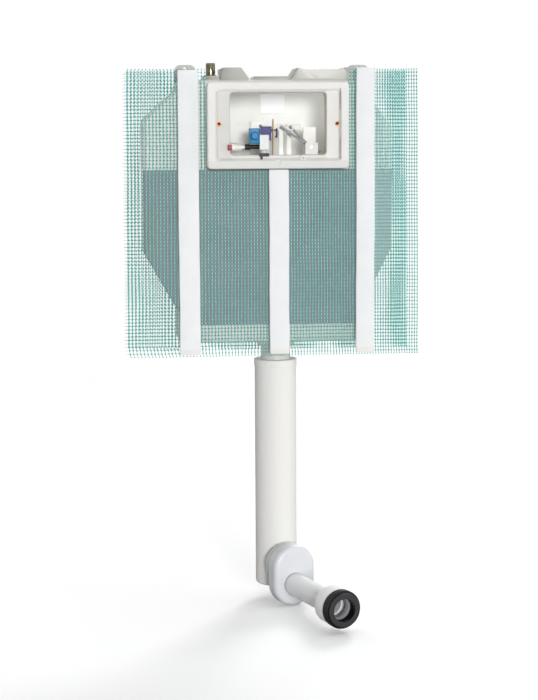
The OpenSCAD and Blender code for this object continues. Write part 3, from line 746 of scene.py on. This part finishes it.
# points round a rectangle with round corners, from the corner where both values are high
def roundedCorners(low, high, radius, steps):
    points = []
    corners = ((high[0] - radius, high[1] - radius), (low[0] + radius, high[1] - radius),
               (low[0] + radius, low[1] + radius), (high[0] - radius, low[1] + radius))
    for corner, (across, along) in enumerate(corners):
        for turn in range(steps + 1):
            angle = math.radians(90 * corner + 90 * turn / steps)
            points.append((across + radius * math.cos(angle), along + radius * math.sin(angle)))
    return points


# foam strips with soft edges and a slightly uneven cut
stripSet = {
    "edge": 0.0014,
    "cornerSteps": 4,
    "stations": 70,
    "uneven": 0.0003,
    "endPull": 0.0006,
    "endLength": 0.0015,
    "swayTurn": 9,
    "swellTurn": 31,
    "phaseStep": 1.7,
    "smooth": 40,
}


def makeStrip(nodeName, phase, values):
    low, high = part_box(nodeName)
    uneven = values["uneven"]
    work = bmesh.new()
    rings = []
    for station in range(values["stations"] + 1):
        share = station / values["stations"]
        end = min(share, 1 - share) * (high.z - low.z)
        pull = values["endPull"] * max(0, 1 - end / values["endLength"])
        swell = uneven * math.sin(values["swellTurn"] * share + 2 * phase)
        halfWidth = (high.x - low.x) / 2 - uneven * 2 + swell * 0.5 - pull
        middle = (low.x + high.x) / 2 + uneven * math.sin(values["swayTurn"] * share + phase)
        points = roundedCorners((middle - halfWidth, low.y + pull), (middle + halfWidth, high.y),
                                values["edge"], values["cornerSteps"])
        rings.append([work.verts.new((x, y, low.z + share * (high.z - low.z))) for x, y in points])
    bandFaces(work, rings)
    work.faces.new(list(reversed(rings[0])))
    work.faces.new(rings[-1])
    mesh = meshFrom(work, nodeName + "Foam")
    smoothMesh(mesh, values["smooth"])
    addPiece(nodeName + "Foam", mesh, "foam_white", [nodeName])


for place, nodeName in enumerate(("strip_left", "strip_centre", "strip_right")):
    makeStrip(nodeName, stripSet["phaseStep"] * place, stripSet)
print("foam strips made")

turnedSmooth = 50


# a turned shape from a closed profile of (distance, radius) points in millimetres
def turned(name, profile, origin, axis, sides=96):
    axis = Vector(axis).normalized()
    side = axis.orthogonal().normalized()
    other = axis.cross(side)
    work = bmesh.new()
    rings = []
    for turn in range(sides):
        angle = 2 * math.pi * turn / sides
        outward = side * math.cos(angle) + other * math.sin(angle)
        rings.append([work.verts.new(Vector(origin) + axis * d * mm + outward * r * mm) for d, r in profile])
    bandFaces(work, rings + rings[:1])
    bmesh.ops.recalc_face_normals(work, faces=work.faces)
    mesh = meshFrom(work, name)
    smoothMesh(mesh, turnedSmooth)
    return mesh


# points of an arc in a profile
def arc(d, r, radius, first, last, steps=5):
    angles = [math.radians(first + (last - first) * k / steps) for k in range(steps + 1)]
    return [(d + radius * math.cos(a), r + radius * math.sin(a)) for a in angles]


# profile of a plug along its axis, for cutting a round hole
def plug(start, end, radius):
    return [(start, 0.01), (start, radius), (end, radius), (end, 0.01)]


# foam sleeve with a rolled rim at the top, a round lower edge and a hole for the port
sleeveSet = {
    "profile": arc(-908.5, 30.55, 1.5, 270, 180) + arc(-904, 30.5, 6, 180, 90, 8)
    + [(-700, 36.5), (-519.6, 36.5)] + arc(-516.8, 34.6, 2.9, 140, 90, 4) + arc(-508, 35.5, 2, 90, 0)
    + arc(-507.5, 30.55, 1.5, 0, -90) + [(-700, 29.05)],
    "sides": 128,
    "port": plug(10, 60, 24.2),
    "portSides": 64,
    "smooth": 40,
}
sleeveMesh = turned("pipeSleeveFoam", sleeveSet["profile"], outletSet["pipeAxis"], upward, sleeveSet["sides"])
portCutter = turned("portCutter", sleeveSet["port"], portCentre, outletWay, sleeveSet["portSides"])
sleeveMesh = cutFrom(sleeveMesh, portCutter)
smoothMesh(sleeveMesh, sleeveSet["smooth"])
sleeveMesh.materials.clear()
addPiece("pipeSleeveFoam", sleeveMesh, "foam_white", ["pipe_sleeve"])

# offset coupling with a fine groove round the outlet pipe
grooveProfile = [(76.6, 19.5), (79, 19.5), (79, 20.8), (76.6, 20.8)]
plainCopy("offset_coupling", turned("jointGroove", grooveProfile, outletCentre, outletWay))

# outlet pipe with its bell, and the rubber seal in it
bellProfile = ([(62, 18), (62, 19.5), (62.5, 20), (100, 20), (140, 20), (180, 20), (208, 20), (210.5, 20.4),
                (212.5, 21.8), (213.6, 24.2), (214, 27.2)] + arc(218, 27.7, 4, 180, 90, 6)
               + arc(245.6, 30.3, 1.4, 90, 0, 4)
               + [(247, 28.12), (217.6, 28.12), (217.6, 18), (180, 18), (140, 18), (100, 18)])
bellMesh = turned("outletPipeBell", bellProfile, outletCentre, outletWay)
addPiece("outletPipeBell", bellMesh, "pipe_white", ["outlet_pipe"])
sealProfile = ([(232, 18.3), (232, 27.5), (232.6, 28.1), (247, 28.1), (247, 31.2)]
               + arc(248.2, 31.3, 1.2, 180, 90, 4)
               + [(251.6, 32.5), (252.1, 31.6), (252.7, 31.2), (253.3, 31.6), (253.8, 32.5)]
               + arc(258.2, 31.3, 1.2, 90, 0, 4) + [(259.4, 29.6), (259.8, 28.8), (260.4, 28.5)]
               + arc(265.2, 27.7, 0.8, 90, 0, 4) + [(266, 21.2)] + arc(265.0, 20.5, 1, 0, -90, 4)
               + [(258, 19.5), (257.3, 20.2), (255.2, 20.2), (254.5, 19.5), (248, 19.5), (247.3, 20.2),
                  (245.2, 20.2), (244.5, 19.5), (238, 18.8), (233, 18)])
sealMesh = turned("panSealRing", sealProfile, outletCentre, outletWay)
addPiece("panSealRing", sealMesh, "rubber_black", ["pan_seal"])
print("sleeve, outlet and seal turned")


# the access frame in millimetres: outer and window are half width, low and high; a slope row is the inset,
# depth, corner radius and inset at the top; a lip row is the growth of the window and the depth; a back row
# is the inset, depth and corner radius
frameSet = {
    "outer": (121, -172.5, -26.5),
    "window": (82, -149, -44),
    "cornerSteps": 8,
    "sideDepths": (-90, -114.2),
    "sideRadius": 6,
    "edge": 1.8,
    "edgeAngles": (0.39, 0.785, 1.18, 1.57),
    "slope": [
        (12.4, -116, 4.6, 11.4), (13.4, -115.7, 4.4, 12.1), (14.4, -114.9, 4.2, 12.8),
        (15.4, -113.6, 4, 13.4), (16.4, -112.3, 3.8, 14), (17.4, -111.4, 3.6, 14.5), (18.6, -111, 3.4, 15),
    ],
    "lip": [
        (2, -111), (1.1, -110.75), (0.35, -110.1), (0, -109), (0, -84.4), (0.4, -84), (3, -84), (3, -108),
    ],
    "lipRadius": 6,
    "back": [(11, -108, 6), (11, -113, 6), (3, -113, 4), (3, -90, 4)],
    "slotSpan": (104.9, 106.2),
    "slotDepth": (-116, -108.6),
    "slotLength": 36,
    "slotFromTop": 46,
    "slotFromFoot": 16,
    "notchLow": (-3, -117, 5),
    "notchHigh": (3, -114, 15),
    "notchTop": 1.6,
    "notchFoot": 0.4,
    "insertSpan": 101,
    "insertHeight": -96.5,
    "insertHole": plug(-113, -104, 4),
    "insertBoss": [(-108.2, 4), (-108.2, 7), (-99, 7), (-99, 4)],
    "bossPlace": (42, -154.5),
    "screwBoss": [
        (-111.5, 1.8), (-113.4, 1.8), (-114, 2.3), (-114, 4.3), (-113.4, 5), (-109, 5), (-109, 1.8),
    ],
    "bossSides": 40,
    "smooth": 36,
}


def joinMeshes(name, meshes):
    work = bmesh.new()
    for mesh in meshes:
        work.from_mesh(mesh)
    return meshFrom(work, name)


def boxMesh(name, low, high):
    work = bmesh.new()
    bmesh.ops.create_cube(work, size=1)
    for vert in work.verts:
        vert.co = Vector([(l + h) / 2 * mm + c * (h - l) * mm for l, h, c in zip(low, high, vert.co)])
    return meshFrom(work, name)


# one closed band of rounded loops: outer side, rim, slope, window lip and back
def frameBand(values):
    half, low, high = values["outer"]
    windowHalf, windowLow, windowHigh = values["window"]
    work = bmesh.new()

    def loop(halfWidth, bottom, top, radius, depth):
        points = roundedCorners((-halfWidth, bottom), (halfWidth, top), radius, values["cornerSteps"])
        return [work.verts.new(Vector((x, depth, z)) * mm) for x, z in points]

    def inset(amount, depth, radius, atTop=None):
        return loop(half - amount, low + amount, high - (amount if atTop is None else atTop), radius, depth)

    edge = values["edge"]
    loops = [inset(0, depth, values["sideRadius"]) for depth in values["sideDepths"]]
    for angle in values["edgeAngles"]:
        loops.append(inset(edge * (1 - math.cos(angle)), values["sideDepths"][1] - edge * math.sin(angle),
                           values["sideRadius"]))
    loops += [inset(*row) for row in values["slope"]]
    for grow, depth in values["lip"]:
        loops.append(loop(windowHalf + grow, windowLow - grow, windowHigh + grow, values["lipRadius"] + grow,
                          depth))
    loops += [inset(*row) for row in values["back"]]
    bandFaces(work, loops + loops[:1])
    bmesh.ops.recalc_face_normals(work, faces=work.faces)
    return meshFrom(work, "accessFrameBand")


# cuts the slots, insert holes and notch out of the band and adds its bosses
def makeFrame(values):
    low, high = values["outer"][1:]
    sides = values["bossSides"]
    insertPlaces = [Vector((x, 0, values["insertHeight"])) * mm
                    for x in (-values["insertSpan"], values["insertSpan"])]
    cutters = []
    for z in (high - values["slotFromTop"], low + values["slotFromFoot"]):
        cutters.append(boxMesh("slot", (values["slotSpan"][0], values["slotDepth"][0], z),
                               (values["slotSpan"][1], values["slotDepth"][1], z + values["slotLength"])))
    cutters += [turned("insertHole", values["insertHole"], p, depthways, sides) for p in insertPlaces]
    notchLow = Vector(values["notchLow"]) + Vector((0, 0, low))
    notchHigh = Vector(values["notchHigh"]) + Vector((0, 0, low))
    notch = boxMesh("notch", notchLow, notchHigh)
    for vert in notch.vertices:
        isTop = vert.co.z > (notchLow.z + notchHigh.z) / 2 * mm
        vert.co.x *= values["notchTop"] if isTop else values["notchFoot"]
    cutters.append(notch)
    mesh = cutFrom(frameBand(values), joinMeshes("frameCutters", cutters))
    extras = [turned("insertBoss", values["insertBoss"], p, depthways, sides) for p in insertPlaces]
    screwPlace = Vector((values["bossPlace"][0], 0, values["bossPlace"][1])) * mm
    extras.append(turned("screwBoss", values["screwBoss"], screwPlace, depthways, sides))
    mesh = joinMeshes("accessFrameBand", [mesh] + extras)
    smoothMesh(mesh, values["smooth"])
    addPiece("accessFrameBand", evenNormals(mesh), "frame_white", ["access_frame"])


makeFrame(frameSet)
print("access frame made")


# the inlet: a turned core with its thread laid round it
inletSet = {
    "place": (-0.111, -0.06, 0),
    "threadStart": -0.0124,
    "profile": [
        (-40, 5), (-40, 7.4), (-39.2, 8.2), (-38, 8.33), (-15, 8.33), (-15, 9.4), (-14.6, 9.83),
        (-13.4, 9.83), (-13, 9.4), (-13, 7.9), (5.6, 7.9), (6.9, 7.3), (7, 6.9), (7, 5.6), (6.6, 5),
    ],
    "sides": 72,
    "helixSteps": 28,
    "ridgeSides": 4,
    "Turns": 13.0,
    "Radius": 0.00791,
    "Length": 0.0172,
    "Ridge": 0.00042,
}


def makeThreadTree(values):
    tree, g, put = geometryTree("inletThread", [
        ("Turns", "Float"), ("Radius", "Float"), ("Length", "Float"), ("Ridge", "Float"), ("Start", "Vector"),
        ("Material", "Material")])
    helix = helixOf(tree, values["helixSteps"], g["Turns"], g["Radius"], g["Length"])
    wound = tubeAlong(tree, helix, values["ridgeSides"], g["Ridge"])
    both = joinedParts(tree, [g["Geometry"], movedBy(tree, wound, g["Start"])])
    return closeTree(tree, both, g["Material"], put)


def makeInlet(values):
    core = turned("inletCore", values["profile"], values["place"], upward, values["sides"])
    start = (values["place"][0], values["place"][1], values["threadStart"])
    given = dict(values, Start=start, Material=finishes["plated"])
    mesh = bakeTree("inletThreaded", makeThreadTree(values), given, core)
    addPiece("inletThreaded", mesh, "plated", ["inlet_spigot"])


makeInlet(inletSet)
print("inlet threaded")


# shape of the screws: counts, and shares of the head's radius, the shank's radius or the shank's length
screwShape = {
    "headSides": 28,
    "headTop": 0.72,
    "recessLong": 1.1,
    "recessShort": 0.26,
    "shankSides": 20,
    "shankCore": 0.86,
    "threadMiddle": 0.87,
    "threadRidge": 0.12,
    "threadSpan": 0.9,
    "threadTurns": 6.0,
    "helixSteps": 16,
    "ridgeSides": 4,
}


# screws with a cross recess and a thread, one for each place
def makeScrewTree(shape):
    tree, g, put = geometryTree("crossScrews", [
        ("Turn", "Vector"), ("Head radius", "Float"), ("Head height", "Float"), ("Shank radius", "Float"),
        ("Shank length", "Float"), ("Material", "Material")])
    head = step(tree, "GeometryNodeMeshCone", {
        "Vertices": shape["headSides"], "Radius Top": times(tree, g["Head radius"], shape["headTop"]),
        "Radius Bottom": g["Head radius"], "Depth": g["Head height"]})
    long = times(tree, g["Head radius"], shape["recessLong"])
    short = times(tree, g["Head radius"], shape["recessShort"])
    lift = vectorOf(tree, 0.0, 0.0, g["Head height"])
    bars = []
    for first, second in ((long, short), (short, long)):
        bar = step(tree, "GeometryNodeMeshCube", {"Size": vectorOf(tree, first, second, g["Head height"])})
        bars.append(movedBy(tree, bar, lift))
    cutHead = step(tree, "GeometryNodeMeshBoolean", {"Mesh 1": head, "Mesh 2": joinedParts(tree, bars)},
                   operation="DIFFERENCE")
    core = times(tree, g["Shank radius"], shape["shankCore"])
    shank = step(tree, "GeometryNodeMeshCone", {
        "Vertices": shape["shankSides"], "Radius Top": core, "Radius Bottom": core,
        "Depth": g["Shank length"]})
    helix = helixOf(tree, shape["helixSteps"], shape["threadTurns"],
                    times(tree, g["Shank radius"], shape["threadMiddle"]),
                    times(tree, g["Shank length"], shape["threadSpan"]))
    wound = tubeAlong(tree, helix, shape["ridgeSides"], times(tree, g["Shank radius"], shape["threadRidge"]))
    down = vectorOf(tree, 0.0, 0.0, times(tree, g["Shank length"], -1.0))
    screw = joinedParts(tree, [cutHead, movedBy(tree, shank, down), movedBy(tree, wound, down)])
    placed = step(tree, "GeometryNodeInstanceOnPoints", {
        "Points": g["Geometry"], "Instance": screw,
        "Rotation": step(tree, "FunctionNodeEulerToRotation", {"Euler": g["Turn"]})})
    return closeTree(tree, placed, g["Material"], put)


screwTree = makeScrewTree(screwShape)
screwSmooth = 35
screwSets = {
    "holder_screws": {
        "places": [(-0.02, -0.007, -0.14), (-0.02, -0.007, -0.1)],
        "Turn": (math.pi / 2, 0, 0.4),
        "Head radius": 0.003,
        "Head height": 0.002,
        "Shank radius": 0.00165,
        "Shank length": 0.0054,
    },
    "bearing_screws": {
        "places": [(0.068, -0.076, -0.192), (0.068, -0.055, -0.192)],
        "Turn": (0, 0, 0.6),
        "Head radius": 0.0028,
        "Head height": 0.002,
        "Shank radius": 0.0015,
        "Shank length": 0.01,
    },
}
for nodeName, values in screwSets.items():
    points = bpy.data.meshes.new(nodeName + "Places")
    points.from_pydata(values["places"], [], [])
    mesh = bakeTree(nodeName + "Turned", screwTree, dict(values, Material=finishes["steel"]), points)
    smoothMesh(mesh, screwSmooth)
    addPiece(nodeName + "Set", mesh, "steel", [nodeName])
print("screws placed")

# floor and light
white = (1, 1, 1, 1)
stageSet = {
    "floorGap": 0.0015,
    "floorHalf": 9.0,
    "floorRough": 0.9,
    "floorGloss": 0.1,
    "floorLift": 0.2,
    "floorBounce": 0.6,
    "worldLight": 0.28,
}


def makeFloor(values):
    half = values["floorHalf"]
    level = cadLow.z - values["floorGap"]
    corners = [(-half, -half, level), (half, -half, level), (half, half, level), (-half, half, level)]
    mesh = bpy.data.meshes.new("studioFloor")
    mesh.from_pydata(corners, [], [(0, 1, 2, 3)])
    floor = addObject("studioFloor", mesh)
    material = bpy.data.materials.new("paleFloor")
    material.use_nodes = True
    tree = material.node_tree
    sockets = tree.nodes["Principled BSDF"].inputs
    sockets["Roughness"].default_value = values["floorRough"]
    sockets["Specular IOR Level"].default_value = values["floorGloss"]
    sockets["Emission Color"].default_value = white
    seen = tree.nodes.new("ShaderNodeLightPath").outputs["Is Camera Ray"]
    link(tree, times(tree, seen, values["floorLift"]), sockets["Emission Strength"])
    tone = step(tree, "ShaderNodeMapRange", {"Value": seen, "To Min": values["floorBounce"], "To Max": 1.0})
    link(tree, tone, sockets["Base Color"])
    mesh.materials.append(material)


def makeWorld(values):
    world = bpy.data.worlds.new("studioWorld")
    world.use_nodes = True
    bpy.context.scene.world = world
    tree = world.node_tree
    background = tree.nodes["Background"]
    background.inputs["Color"].default_value = white
    path = tree.nodes.new("ShaderNodeLightPath").outputs
    seen = calc(tree, "MAXIMUM", path["Is Camera Ray"], path["Is Glossy Ray"])
    through = calc(tree, "MAXIMUM", seen, path["Is Transmission Ray"])
    strength = step(tree, "ShaderNodeMapRange", {
        "Value": through, "To Min": values["worldLight"], "To Max": 1.0})
    link(tree, strength, background.inputs["Strength"])


def aimLamp(lamp, way):
    lamp.rotation_euler = way.to_track_quat("-Z", "Y").to_euler()


makeFloor(stageSet)
makeWorld(stageSet)

# broad soft lamps, far away, so that the floor is lit evenly
lampSet = {
    "topLamp": {"fromWay": (0.22, 0.2, 0.95), "power": 0.85, "spread": 70},
    "keyLamp": {"fromWay": (0.36, 0.74, 0.57), "power": 1.0, "spread": 18},
    "frontLamp": {"fromWay": (0.12, -0.98, 0.14), "power": 1.85, "spread": 16},
    "sideLamp": {"fromWay": (0.95, -0.28, 0.1), "power": 0.55, "spread": 20},
}
for lampName, values in lampSet.items():
    data = bpy.data.lights.new(lampName, "SUN")
    data.energy = values["power"]
    data.angle = math.radians(values["spread"])
    aimLamp(addObject(lampName, data), -Vector(values["fromWay"]))

# light that the thin shell lets through, as small lamps behind the front wall
insideSet = {
    "insideTop": {
        "place": (0, -0.079, -0.034), "aim": (0, -0.01, -0.1), "size": (0.22, 0.01), "power": 0.037,
    },
    "insideLow": {
        "place": (0, -0.079, -0.165), "aim": (0, -0.004, -0.1), "size": (0.14, 0.01), "power": 0.018,
    },
    "insideRight": {
        "place": (0.105, -0.078, -0.085), "aim": (0.088, -0.008, -0.085), "size": (0.008, 0.08),
        "power": 0.016,
    },
}
for lampName, values in insideSet.items():
    data = bpy.data.lights.new(lampName, "AREA")
    data.shape = "RECTANGLE"
    data.size, data.size_y = values["size"]
    data.energy = values["power"]
    lamp = addObject(lampName, data)
    lamp.location = values["place"]
    aimLamp(lamp, Vector(values["aim"]) - Vector(values["place"]))
    lamp.visible_camera = False
bpy.context.scene.view_settings.view_transform = "Standard"
print("stage set")
